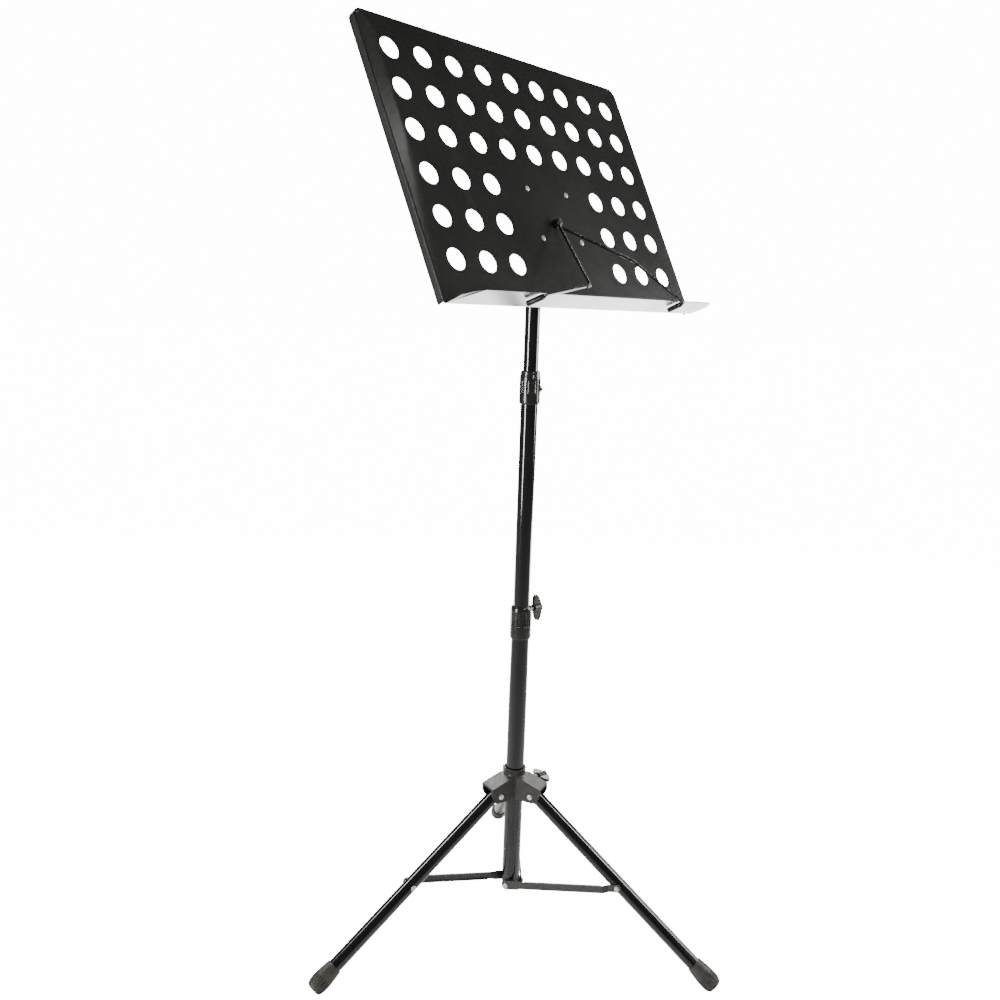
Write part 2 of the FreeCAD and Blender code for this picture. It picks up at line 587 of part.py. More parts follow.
def page_arm(level, elbow, tip, end):
    """Bent wire: an eye round the stud, a run out to the elbow, a run to the tip and its hooked end."""
    centre = V(*desk_point(STUD_U, STUD_W, level))
    body = Part.makeTorus(STUD_R + FIT + WIRE_R, WIRE_R, centre, V(0, 1, 0))
    lean = math.atan2(elbow[0] - STUD_U, elbow[1] - STUD_W)
    start = desk_point(STUD_U + 4.0 * math.sin(lean), STUD_W + 4.0 * math.cos(lean), level)
    route = [start, desk_point(*elbow), desk_point(*tip), desk_point(*end)]
    for a, b in zip(route, route[1:]):
        body = body.fuse(rod(a, b, WIRE_R))
    for point in route[:-1]:
        body = body.fuse(Part.makeSphere(WIRE_R, V(*point)))
    return body


def arm_sleeve(tip, end):
    """Soft sleeve over the hooked end of a wire, closed past the wire's end."""
    a, b = V(*desk_point(*tip)), V(*desk_point(*end))
    step = (b - a).normalize()
    start = a + step * SLEEVE_GAP
    depth = (V(*desk_point(*end)) - start).Length
    bore = WIRE_R + SNUG
    outline = [(bore, 0), (SLEEVE_R, 0), (SLEEVE_R, depth + 1.2), (SLEEVE_R - 1.0, depth + 2.2),
               (0, depth + 2.2), (0, depth), (bore, depth)]
    return spun(outline, (start.x, start.y, start.z), step)


RIGHT_ARM = {"elbow": (62.7, -76.8, 45.0), "tip": (146.0, -130.8, 46.0), "end": (148.0, -129.6, 23.0)}
LEFT_ARM = {"elbow": (-43.0, -115.4, 45.2), "tip": (-131.0, -130.8, 46.0), "end": (-135.0, -129.6, 23.0)}


def build():
    save(lower_tube(), "lower_tube")
    save(end_block(), "tube_end_block")
    save(clutch(MIDDLE_CLUTCH, MIDDLE_FLUTES, MIDDLE_KNOB, LOWER_OD, LOWER_TOP, MIDDLE_OD), "middle_clutch_body")
    save(bush(LOWER_OD, MIDDLE_OD, 424.0, LOWER_TOP - 0.5, None), "middle_clutch_bush")
    save(drilled_tube(MIDDLE_BOTTOM, MIDDLE_TOP - 13, MIDDLE_OD), "middle_tube")
    save(glide(LOWER_OD, MIDDLE_OD, MIDDLE_BOTTOM), "middle_tube_glide")
    save(clutch(UPPER_CLUTCH, UPPER_FLUTES, UPPER_KNOB, MIDDLE_OD, MIDDLE_TOP - 13, TOP_OD), "upper_clutch_body")
    save(bush(MIDDLE_OD, TOP_OD, 725.0, MIDDLE_TOP - 13.5, None), "upper_clutch_bush")
    save(drilled_tube(TOP_BOTTOM, TOP_TOP, TOP_OD), "top_rod")
    save(glide(MIDDLE_OD, TOP_OD, TOP_BOTTOM), "top_rod_glide")

    for name, knob, inner_r, stand_off in (("middle", MIDDLE_KNOB, MIDDLE_OD / 2 + FIT, MIDDLE_STAND_OFF),
                                           ("upper", UPPER_KNOB, TOP_OD / 2 + FIT, UPPER_STAND_OFF),
                                           ("hub", HUB_KNOB, LOWER_OD / 2 + FIT, HUB_STAND_OFF)):
        body, screw = knob_pair(knob, inner_r, stand_off)
        save(body, name + "_knob")
        save(screw, name + "_knob_screw")

    save(hub_body(), "hub_body")
    save(hub_bush(), "hub_bush")
    save(leg_pins(), "leg_pivot_pins")
    for name, azimuth in ARMS.items():
        save(about_z(leg_tube(), azimuth), name + "_leg_tube")
        save(about_z(foot(), azimuth), name + "_foot")
        save(about_z(leg_rivet(), azimuth), name + "_leg_rivet")
        save(about_z(strut(), azimuth), name + "_strut")
        save(about_z(strut_outer_rivet(), azimuth), name + "_strut_rivet")
    save(strut_inner_rivets(), "strut_base_rivets")

    save(place_desk(desk_plate()), "desk_plate")
    save(place_desk(desk_rim()), "desk_rim")
    save(place_desk(desk_shelf()), "desk_shelf")
    save(place_desk(desk_bracket()), "desk_bracket")
    save(place_desk(desk_rivets()), "desk_rivets")
    save(place_desk(arm_stud()), "page_arm_stud")
    save(place_desk(tilt_head(), tilted=False), "tilt_head")
    save(place_desk(tilt_bolt()), "tilt_bolt")
    save(place_desk(tilt_washers()), "tilt_washers")
    save(place_desk(tilt_wing_nut()), "tilt_wing_nut")
    for name, arm, level in (("right", RIGHT_ARM, 2.4), ("left", LEFT_ARM, 6.2)):
        save(place_desk(page_arm(level, arm["elbow"], arm["tip"], arm["end"])), name + "_page_arm")
        save(place_desk(arm_sleeve(arm["tip"], arm["end"])), name + "_arm_sleeve")


build()
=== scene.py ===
import json
import math
import bpy
from mathutils import Matrix, Vector


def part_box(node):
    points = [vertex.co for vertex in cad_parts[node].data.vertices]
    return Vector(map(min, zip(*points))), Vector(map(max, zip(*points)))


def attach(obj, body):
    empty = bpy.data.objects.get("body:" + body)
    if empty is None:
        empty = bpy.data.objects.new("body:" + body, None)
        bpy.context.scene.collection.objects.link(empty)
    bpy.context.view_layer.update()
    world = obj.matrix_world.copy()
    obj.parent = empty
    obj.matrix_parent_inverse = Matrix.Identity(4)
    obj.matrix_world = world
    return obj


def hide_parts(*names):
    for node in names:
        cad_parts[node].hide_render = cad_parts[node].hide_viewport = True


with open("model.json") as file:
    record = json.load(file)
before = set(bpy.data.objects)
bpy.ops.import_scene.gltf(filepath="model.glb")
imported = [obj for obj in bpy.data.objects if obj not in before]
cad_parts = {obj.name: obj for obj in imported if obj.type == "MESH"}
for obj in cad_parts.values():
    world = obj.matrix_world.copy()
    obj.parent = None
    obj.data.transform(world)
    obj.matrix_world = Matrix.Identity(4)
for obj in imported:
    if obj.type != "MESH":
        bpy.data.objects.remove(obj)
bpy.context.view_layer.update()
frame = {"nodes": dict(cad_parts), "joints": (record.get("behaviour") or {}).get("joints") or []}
nodes = frame["nodes"]
joints = {joint["name"]: joint for joint in frame["joints"]}
mm = 0.001

# place in metres, angles in degrees, lens and sensor in millimetres
cameraPlan = {"place": (-0.1106, -1.2469, 0.8463), "azimuth": 3.55, "pitch": -10.82, "roll": 1.98,
              "lens": 35.2, "sensor": 36, "farthest": 200}
studio = {"floorRadius": 40, "floorSides": 96, "floorColour": (0.80, 0.80, 0.79, 1), "floorRough": 0.9,
          "floorSeen": 15.0, "floorCast": 0.0, "skySeen": 15.0, "skyCast": 0.10, "white": (1, 1, 1, 1)}
# name: place, point aimed at, width, height, turn about its own axis and spread in degrees, power
lamps = {"sideRight": ((1.75, 0.35, 1.00), (0.1, 0, 0.84), 1.0, 0.8, 36, 70, 6.5),
         "sideLeft": ((-1.85, -1.20, 0.92), (0, 0, 0.88), 0.30, 1.5, 0, 40, 5.5),
         "frontRight": ((1.25, -1.80, 1.75), (0, 0, 0.95), 0.16, 1.1, 0, 36, 1.3),
         "paleFloor": ((0.5, 2.1, 0.03), (0.5, 2.1, 2.0), 3.4, 2.6, 0, 180, 330),
         "legLeft": ((-1.57, 0.05, 1.77), (-0.18, -0.10, 0.06), 0.30, 0.9, 0, 20, 0.42),
         "legRight": ((1.67, -0.29, 1.67), (0.18, -0.10, 0.06), 0.26, 0.9, 0, 20, 0.36),
         "overBack": ((0.0, 2.5, 2.1), (0, 0, 0.2), 3.2, 0.7, 0, 100, 60)}


def makeCamera():
    azimuth, pitch, roll = (math.radians(cameraPlan[k]) for k in ("azimuth", "pitch", "roll"))
    ahead = Vector((math.sin(azimuth) * math.cos(pitch), math.cos(azimuth) * math.cos(pitch), math.sin(pitch)))
    right = Vector((math.cos(azimuth), -math.sin(azimuth), 0))
    up = right.cross(ahead)
    tiltedRight = right * math.cos(roll) + up * math.sin(roll)
    tiltedUp = up * math.cos(roll) - right * math.sin(roll)
    data = bpy.data.cameras.new("camera")
    data.lens = cameraPlan["lens"]
    data.sensor_width = cameraPlan["sensor"]
    data.clip_end = cameraPlan["farthest"]
    camera = bpy.data.objects.new("camera", data)
    bpy.context.collection.objects.link(camera)
    turn = Matrix((tiltedRight, tiltedUp, -ahead)).transposed().to_4x4()
    camera.matrix_world = Matrix.Translation(cameraPlan["place"]) @ turn
    bpy.context.scene.camera = camera


def makeLamps():
    for name, (place, aim, width, height, turn, spread, power) in lamps.items():
        data = bpy.data.lights.new(name, "AREA")
        data.shape = "RECTANGLE"
        data.size = width
        data.size_y = height
        data.energy = power
        data.spread = math.radians(spread)
        lamp = bpy.data.objects.new(name, data)
        lamp.location = place
        facing = (Vector(aim) - Vector(place)).to_track_quat("-Z", "Y").to_matrix()
        lamp.rotation_euler = (facing @ Matrix.Rotation(math.radians(turn), 3, "Z")).to_euler()
        lamp.visible_camera = False
        bpy.context.collection.objects.link(lamp)


def seenOrCast(tree, seen, cast):
    # one strength for what the camera sees directly, another for light cast on the stand
    path = tree.nodes.new("ShaderNodeLightPath")
    choice = tree.nodes.new("ShaderNodeMapRange")
    choice.inputs["To Min"].default_value = cast
    choice.inputs["To Max"].default_value = seen
    tree.links.new(path.outputs["Is Camera Ray"], choice.inputs["Value"])
    return choice.outputs["Result"]


def makeStudio():
    world = bpy.data.worlds.new("studio")
    world.use_nodes = True
    sky = world.node_tree.nodes["Background"]
    sky.inputs["Color"].default_value = studio["white"]
    strength = seenOrCast(world.node_tree, studio["skySeen"], studio["skyCast"])
    world.node_tree.links.new(strength, sky.inputs["Strength"])
    bpy.context.scene.world = world
    bpy.ops.object.select_all(action="DESELECT")
    bpy.ops.mesh.primitive_circle_add(vertices=studio["floorSides"], radius=studio["floorRadius"],
                                      fill_type="NGON")
    floor = bpy.context.object
    floor.name = "floor"
    paper = bpy.data.materials.new("floorPaper")
    paper.use_nodes = True
    shader = paper.node_tree.nodes["Principled BSDF"]
    shader.inputs["Base Color"].default_value = studio["floorColour"]
    shader.inputs["Roughness"].default_value = studio["floorRough"]
    shader.inputs["Emission Color"].default_value = studio["white"]
    glow = seenOrCast(paper.node_tree, studio["floorSeen"], studio["floorCast"])
    paper.node_tree.links.new(glow, shader.inputs["Emission Strength"])
    floor.data.materials.append(paper)


makeCamera()
makeLamps()
makeStudio()
print("camera, light and floor are ready")


def newGroup(name, ins, outs):
    group = bpy.data.node_groups.new(name, "ShaderNodeTree")
    for label, kind, value in ins:
        socket = group.interface.new_socket(name=label, in_out="INPUT", socket_type="NodeSocket" + kind)
        socket.default_value = value
    for label, kind in outs:
        group.interface.new_socket(name=label, in_out="OUTPUT", socket_type="NodeSocket" + kind)
    return group, group.nodes.new("NodeGroupInput"), group.nodes.new("NodeGroupOutput")


def addNode(tree, kind, **settings):
    node = tree.nodes.new(kind)
    for key, value in settings.items():
        setattr(node, key, value)
    return node


def makeGrainGroup():
    # fine moulded or sprayed grain with a slower waviness under it, as one height
    group, taken, given = newGroup("fineGrain", [("Scale", "Float", 900.0), ("Wave Scale", "Float", 60.0),
                                                 ("Wave Share", "Float", 0.3)], [("Height", "Float")])
    place = addNode(group, "ShaderNodeTexCoord")
    grain = addNode(group, "ShaderNodeTexNoise")
    grain.inputs["Detail"].default_value = 2.0
    wave = addNode(group, "ShaderNodeTexNoise")
    wave.inputs["Detail"].default_value = 1.0
    mix = addNode(group, "ShaderNodeMix", data_type="FLOAT")
    link = group.links.new
    link(place.outputs["Object"], grain.inputs["Vector"])
    link(place.outputs["Object"], wave.inputs["Vector"])
    link(taken.outputs["Scale"], grain.inputs["Scale"])
    link(taken.outputs["Wave Scale"], wave.inputs["Scale"])
    link(taken.outputs["Wave Share"], mix.inputs["Factor"])
    link(grain.outputs["Fac"], mix.inputs["A"])
    link(wave.outputs["Fac"], mix.inputs["B"])
    link(mix.outputs["Result"], given.inputs["Height"])
    return group


def makeToneGroup():
    # two near tones of one finish, mixed in soft cloudy patches, with matching patches of roughness
    group, taken, given = newGroup(
        "toneDrift", [("Tone A", "Color", (0, 0, 0, 1)), ("Tone B", "Color", (0, 0, 0, 1)), ("Scale", "Float", 25.0),
                      ("Rough Low", "Float", 0.3), ("Rough High", "Float", 0.4)],
        [("Colour", "Color"), ("Roughness", "Float")])
    place = addNode(group, "ShaderNodeTexCoord")
    cloud = addNode(group, "ShaderNodeTexNoise")
    cloud.inputs["Detail"].default_value = 5.0
    spread = addNode(group, "ShaderNodeMapRange")
    spread.inputs["From Min"].default_value = 0.35
    spread.inputs["From Max"].default_value = 0.65
    tone = addNode(group, "ShaderNodeMix", data_type="RGBA")
    rough = addNode(group, "ShaderNodeMapRange")
    link = group.links.new
    link(place.outputs["Object"], cloud.inputs["Vector"])
    link(taken.outputs["Scale"], cloud.inputs["Scale"])
    link(cloud.outputs["Fac"], spread.inputs["Value"])
    link(spread.outputs["Result"], tone.inputs["Factor"])
    link(taken.outputs["Tone A"], tone.inputs["A"])
    link(taken.outputs["Tone B"], tone.inputs["B"])
    link(spread.outputs["Result"], rough.inputs["Value"])
    link(taken.outputs["Rough Low"], rough.inputs["To Min"])
    link(taken.outputs["Rough High"], rough.inputs["To Max"])
    link(tone.outputs["Result"], given.inputs["Colour"])
    link(rough.outputs["Result"], given.inputs["Roughness"])
    return group


def makeScuffGroup():
    # rare fine scuffs: thin stretched streaks that only show where a second, slower noise lets them
    group, taken, given = newGroup("fineScuffs", [("Scale", "Float", 40.0), ("Amount", "Float", 0.5)],
                                   [("Mask", "Float")])
    place = addNode(group, "ShaderNodeTexCoord")
    stretch = addNode(group, "ShaderNodeMapping")
    stretch.inputs["Scale"].default_value = (1.0, 1.0, 0.06)
    streak = addNode(group, "ShaderNodeTexNoise")
    streak.inputs["Detail"].default_value = 6.0
    gate = addNode(group, "ShaderNodeTexNoise")
    gate.inputs["Scale"].default_value = 14.0
    sharp = addNode(group, "ShaderNodeMapRange")
    sharp.inputs["From Min"].default_value = 0.62
    sharp.inputs["From Max"].default_value = 0.72
    opened = addNode(group, "ShaderNodeMapRange")
    opened.inputs["From Min"].default_value = 0.5
    opened.inputs["From Max"].default_value = 0.65
    both = addNode(group, "ShaderNodeMath", operation="MULTIPLY")
    shared = addNode(group, "ShaderNodeMath", operation="MULTIPLY")
    link = group.links.new
    link(place.outputs["Object"], stretch.inputs["Vector"])
    link(stretch.outputs["Vector"], streak.inputs["Vector"])
    link(place.outputs["Object"], gate.inputs["Vector"])
    link(taken.outputs["Scale"], streak.inputs["Scale"])
    link(streak.outputs["Fac"], sharp.inputs["Value"])
    link(gate.outputs["Fac"], opened.inputs["Value"])
    link(sharp.outputs["Result"], both.inputs[0])
    link(opened.outputs["Result"], both.inputs[1])
    link(both.outputs["Value"], shared.inputs[0])
    link(taken.outputs["Amount"], shared.inputs[1])
    link(shared.outputs["Value"], given.inputs["Mask"])
    return group


grainGroup = makeGrainGroup()
toneGroup = makeToneGroup()
scuffGroup = makeScuffGroup()


coatRoughness = 0.06
# tones: two near colours; rough: lowest and highest; patch: scale of the tone's clouds;
# grain: scale, bump strength, bump distance in metres; wave: scale, share of the grain's height
finishes = {
    "satinBlackCoat": {"tones": ((0.014, 0.014, 0.012), (0.019, 0.019, 0.016)), "rough": (0.29, 0.35),
                       "patch": 9, "grain": (1500, 0.25, 0.00006), "wave": (90, 0.35), "coat": 0.0, "metal": 0.0,
                       "scuffs": 0.25, "scuffTone": (0.06, 0.06, 0.055)},
    "glossBlackTube": {"tones": ((0.006, 0.006, 0.006), (0.009, 0.0085, 0.008)), "rough": (0.11, 0.15),
                       "patch": 18, "grain": (500, 0.03, 0.00002), "wave": (45, 0.5), "coat": 0.35, "metal": 0.0,
                       "scuffs": 0.3, "scuffTone": (0.05, 0.05, 0.05)},
    "strutCoat": {"tones": ((0.040, 0.037, 0.036), (0.050, 0.047, 0.044)), "rough": (0.42, 0.52),
                  "patch": 25, "grain": (1400, 0.3, 0.00006), "wave": (90, 0.3), "coat": 0.0, "metal": 0.0,
                  "scuffs": 0.4, "scuffTone": (0.10, 0.10, 0.095)},
    "clutchBlack": {"tones": ((0.011, 0.012, 0.010), (0.016, 0.016, 0.013)), "rough": (0.20, 0.28),
                    "patch": 60, "grain": (1800, 0.15, 0.00005), "wave": (150, 0.4), "coat": 0.15, "metal": 0.0,
                    "scuffs": 0.2, "scuffTone": (0.06, 0.06, 0.05)},
    "knobBlack": {"tones": ((0.045, 0.044, 0.034), (0.060, 0.058, 0.046)), "rough": (0.30, 0.40),
                  "patch": 90, "grain": (1800, 0.25, 0.00006), "wave": (160, 0.3), "coat": 0.0, "metal": 0.0,
                  "scuffs": 0.2, "scuffTone": (0.12, 0.12, 0.10)},
    "hubGrey": {"tones": ((0.019, 0.018, 0.014), (0.029, 0.027, 0.021)), "rough": (0.44, 0.56),
                "patch": 110, "grain": (1300, 0.8, 0.00014), "wave": (260, 0.35), "coat": 0.0, "metal": 0.0,
                "scuffs": 0.2, "scuffTone": (0.17, 0.16, 0.13)},
    "footRubber": {"tones": ((0.050, 0.048, 0.039), (0.070, 0.067, 0.056)), "rough": (0.44, 0.58),
                   "patch": 120, "grain": (1500, 0.5, 0.00010), "wave": (200, 0.35), "coat": 0.0, "metal": 0.0,
                   "scuffs": 0.5, "scuffTone": (0.15, 0.145, 0.13)},
    "brightNickel": {"tones": ((0.76, 0.73, 0.66), (0.84, 0.81, 0.75)), "rough": (0.28, 0.40),
                     "patch": 300, "grain": (2500, 0.2, 0.00003), "wave": (500, 0.3), "coat": 0.0, "metal": 0.55,
                     "scuffs": 0.3, "scuffTone": (0.45, 0.43, 0.40)},
    "zincSteel": {"tones": ((0.14, 0.14, 0.135), (0.20, 0.20, 0.19)), "rough": (0.28, 0.40),
                  "patch": 200, "grain": (2200, 0.3, 0.00004), "wave": (300, 0.3), "coat": 0.0, "metal": 1.0,
                  "scuffs": 0.4, "scuffTone": (0.28, 0.28, 0.27)},
    "wireBlack": {"tones": ((0.012, 0.012, 0.011), (0.018, 0.018, 0.016)), "rough": (0.16, 0.24),
                  "patch": 70, "grain": (900, 0.12, 0.00004), "wave": (200, 0.4), "coat": 0.2, "metal": 0.0,
                  "scuffs": 0.5, "scuffTone": (0.16, 0.16, 0.15)},
    "vinylSleeve": {"tones": ((0.014, 0.014, 0.013), (0.020, 0.020, 0.018)), "rough": (0.26, 0.36),
                    "patch": 120, "grain": (1200, 0.3, 0.00006), "wave": (300, 0.4), "coat": 0.0, "metal": 0.0,
                    "scuffs": 0.2, "scuffTone": (0.06, 0.06, 0.06)},
    "innerPlastic": {"tones": ((0.030, 0.030, 0.028), (0.040, 0.040, 0.037)), "rough": (0.45, 0.55),
                     "patch": 80, "grain": (1300, 0.4, 0.00008), "wave": (200, 0.3), "coat": 0.0, "metal": 0.0,
                     "scuffs": 0.2, "scuffTone": (0.08, 0.08, 0.075)},
}


def makeFinish(name, finish):
    material = bpy.data.materials.new(name)
    material.use_nodes = True
    tree = material.node_tree
    link = tree.links.new
    shader = tree.nodes["Principled BSDF"]
    shader.inputs["Metallic"].default_value = finish["metal"]
    shader.inputs["Coat Weight"].default_value = finish["coat"]
    shader.inputs["Coat Roughness"].default_value = coatRoughness
    tone = addNode(tree, "ShaderNodeGroup", node_tree=toneGroup)
    tone.inputs["Tone A"].default_value = (*finish["tones"][0], 1)
    tone.inputs["Tone B"].default_value = (*finish["tones"][1], 1)
    tone.inputs["Scale"].default_value = finish["patch"]
    tone.inputs["Rough Low"].default_value = finish["rough"][0]
    tone.inputs["Rough High"].default_value = finish["rough"][1]
    scuffs = addNode(tree, "ShaderNodeGroup", node_tree=scuffGroup)
    scuffs.inputs["Amount"].default_value = finish["scuffs"]
    worn = addNode(tree, "ShaderNodeMix", data_type="RGBA")
    worn.inputs["B"].default_value = (*finish["scuffTone"], 1)
    grain = addNode(tree, "ShaderNodeGroup", node_tree=grainGroup)
    scale, strength, depth = finish["grain"]
    grain.inputs["Scale"].default_value = scale
    grain.inputs["Wave Scale"].default_value, grain.inputs["Wave Share"].default_value = finish["wave"]
    bump = addNode(tree, "ShaderNodeBump")
    bump.inputs["Strength"].default_value = strength
    bump.inputs["Distance"].default_value = depth
    link(tone.outputs["Colour"], worn.inputs["A"])
    link(scuffs.outputs["Mask"], worn.inputs["Factor"])
    link(worn.outputs["Result"], shader.inputs["Base Color"])
    link(tone.outputs["Roughness"], shader.inputs["Roughness"])
    link(grain.outputs["Height"], bump.inputs["Height"])
    link(bump.outputs["Normal"], shader.inputs["Normal"])
    return material


materials = {name: makeFinish(name, finish) for name, finish in finishes.items()}
print("materials are ready:", len(materials))


# metres: points nearer than this become one
mergeWithin = {"cad": 0.000005, "turned": 0.000002}


def clearSelection():
    if bpy.context.mode != "OBJECT":
        bpy.ops.object.mode_set(mode="OBJECT")
    bpy.ops.object.select_all(action="DESELECT")


def makeActive(piece):
    clearSelection()
    piece.select_set(True)
    bpy.context.view_layer.objects.active = piece


def applyModifier(piece, kind, **settings):
    makeActive(piece)
    modifier = piece.modifiers.new(kind.title(), kind)
    for key, value in settings.items():
        setattr(modifier, key, value)
    bpy.ops.object.modifier_apply(modifier=modifier.name)


def finishPiece(piece, material, body, replaced, sharp=35):
    # smooth shading, one material, and the piece's place in the frame
    makeActive(piece)
    bpy.ops.object.transform_apply(location=True, rotation=True, scale=True)
    bpy.ops.object.shade_smooth_by_angle(angle=math.radians(sharp))
    piece.data.materials.clear()
    piece.data.materials.append(materials[material])
    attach(piece, body)
    if replaced:
        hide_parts(*replaced)
    return piece


def mergeDoubles(piece):
    # CAD faces already point the right way, so only their doubled points are merged
    makeActive(piece)
    bpy.ops.object.mode_set(mode="EDIT")
    bpy.ops.mesh.select_all(action="SELECT")
    bpy.ops.mesh.remove_doubles(threshold=mergeWithin["cad"])
    bpy.ops.object.mode_set(mode="OBJECT")


def turnShape(name, outline, start, direction, sides=64):
    # a ring, extruded and resized from point to point of the outline of (radius, distance) in millimetres
    clearSelection()
    radius, distance = outline[0]
    bpy.ops.mesh.primitive_circle_add(vertices=sides, radius=radius * mm, location=(0, 0, distance * mm))
    piece = bpy.context.object
    piece.name = name
    bpy.ops.object.transform_apply(location=True, rotation=True, scale=True)
    bpy.ops.object.mode_set(mode="EDIT")
    bpy.ops.mesh.select_all(action="SELECT")
    for nextRadius, nextDistance in outline[1:]:
        rise = (nextDistance - distance) * mm
        bpy.ops.mesh.extrude_region_move(TRANSFORM_OT_translate={"value": (0, 0, rise)})
        scale = nextRadius / radius
        bpy.ops.transform.resize(value=(scale, scale, 1), center_override=(0, 0, nextDistance * mm))
        radius, distance = nextRadius, nextDistance
    bpy.ops.mesh.select_all(action="SELECT")
    bpy.ops.mesh.remove_doubles(threshold=mergeWithin["turned"])
    bpy.ops.mesh.fill_holes(sides=0)
    bpy.ops.mesh.select_all(action="SELECT")
    bpy.ops.mesh.normals_make_consistent(inside=False)
    bpy.ops.object.mode_set(mode="OBJECT")
    standAlong(piece, start, direction)
    return piece


def standAlong(piece, start, direction):
    # the piece's own +Z is laid along the direction, its own origin on the start
    turn = Vector(direction).to_track_quat("Z", "Y").to_matrix().to_4x4()
    piece.matrix_world = Matrix.Translation(Vector(start)) @ turn @ piece.matrix_world
    makeActive(piece)
    bpy.ops.object.transform_apply(location=True, rotation=True, scale=True)


def joinPieces(pieces, name):
    makeActive(pieces[0])
    for piece in pieces:
        piece.select_set(True)
    if len(pieces) > 1:
        bpy.ops.object.join()
    pieces[0].name = name
    return pieces[0]


def copyPiece(piece, name):
    twin = piece.copy()
    twin.data = piece.data.copy()
    twin.name = name
    bpy.context.collection.objects.link(twin)
    return twin


def turnAboutMast(piece, azimuth):
    # azimuth is counted clockwise from +Y, seen from above, and the piece was built towards +X
    piece.matrix_world = Matrix.Rotation(math.radians(90 - azimuth), 4, "Z") @ piece.matrix_world
    makeActive(piece)
    bpy.ops.object.transform_apply(location=True, rotation=True, scale=True)
    return piece


def ringOutline(outer, inner, low, high, edge=0.3):
    # closed outline of a pipe with small rounded edges at both ends
    return [(outer - edge, low), (outer - edge * 0.3, low + edge * 0.3), (outer, low + edge), (outer, high - edge),
            (outer - edge * 0.3, high - edge * 0.3), (outer - edge, high), (inner + edge, high), (inner, high - edge),
            (inner, low + edge), (inner + edge, low), (outer - edge, low)]


def refined(node, name):
    # a merged copy of a CAD part, for smooth shading over its bends
    twin = copyPiece(nodes[node], name)
    twin.parent = None
    for key in list(twin.keys()):
        del twin[key]
    mergeDoubles(twin)
    return twin


def weighNormals(piece):
    applyModifier(piece, "WEIGHTED_NORMAL", keep_sharp=True, weight=80)


mast = {"wall": 1.0, "sides": 96}


def makeTube(node, body):
    low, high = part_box(node)
    outer = (high.x - low.x) / 2 / mm
    outline = ringOutline(outer, outer - mast["wall"], low.z / mm, high.z / mm)
    tube = turnShape(node + "Shell", outline, (0, 0, 0), (0, 0, 1), mast["sides"])
    finishPiece(tube, "glossBlackTube", body, [node])
    weighNormals(tube)


for tubeNode, tubeBody in (("lower_tube", "base"), ("middle_tube", "middle_stage"), ("top_rod", "top_stage")):
    makeTube(tubeNode, tubeBody)
print("mast tubes are ready")


# millimetres: the closed outline of each clutch, and the heights between which its flutes run
clutches = {
    "middle_clutch_body": {"body": "base", "flutes": (439.5, 458.0), "peak": 14.4, "outline": [
        (13.0, 421.0), (13.4, 421.2), (13.9, 422.2), (14.3, 423.5), (14.4, 437.0), (14.2, 459.0), (13.9, 461.8),
        (13.5, 463.4), (13.0, 464.8), (12.4, 465.5), (11.6, 465.5), (11.2, 465.1), (11.2, 452.0), (12.2, 452.0),
        (12.2, 421.3), (12.5, 421.0), (13.0, 421.0)]},
    "upper_clutch_body": {"body": "middle_stage", "flutes": (748.0, 763.0), "peak": 13.4, "outline": [
        (12.0, 733.3), (12.5, 733.5), (13.0, 734.6), (13.25, 736.0), (13.4, 750.0), (13.3, 766.0), (13.15, 767.8),
        (12.65, 769.6), (12.45, 771.0), (12.35, 773.8), (12.1, 774.9), (11.6, 775.5), (10.2, 775.5), (9.8, 775.1),
        (9.8, 752.0), (10.95, 752.0), (10.95, 733.6), (11.3, 733.3), (12.0, 733.3)]}}
fluting = {"count": 10, "radius": 2.6, "depth": 1.4}


def makeClutch(node, plan):
    # a turned collar, then scooped by a ring of round-ended cutters
    collar = turnShape(node + "Skin", plan["outline"], (0, 0, 0), (0, 0, 1), 120)
    radius, out = fluting["radius"], plan["peak"] + fluting["radius"] - fluting["depth"]
    low, high = plan["flutes"]
    dome = [(0.05, 1.0), (0.38, 0.92), (0.71, 0.71), (0.92, 0.38)]
    capsule = [(radius * r, low - radius * h) for r, h in dome] + [(radius, low), (radius, high)]
    capsule += [(radius * r, high + radius * h) for r, h in dome[::-1]]
    cutters = []
    for index in range(fluting["count"]):
        angle = math.tau * index / fluting["count"]
        place = (out * mm * math.cos(angle), out * mm * math.sin(angle), 0)
        cutters.append(turnShape("fluteCutter", capsule, place, (0, 0, 1), 32))
    comb = joinPieces(cutters, "fluteComb")
    applyModifier(collar, "BOOLEAN", object=comb, operation="DIFFERENCE", solver="EXACT")
    bpy.data.objects.remove(comb)
    finishPiece(collar, "clutchBlack", plan["body"], [node], sharp=32)
    weighNormals(collar)


for clutchNode, clutchPlan in clutches.items():
    makeClutch(clutchNode, clutchPlan)
print("clutches are ready")


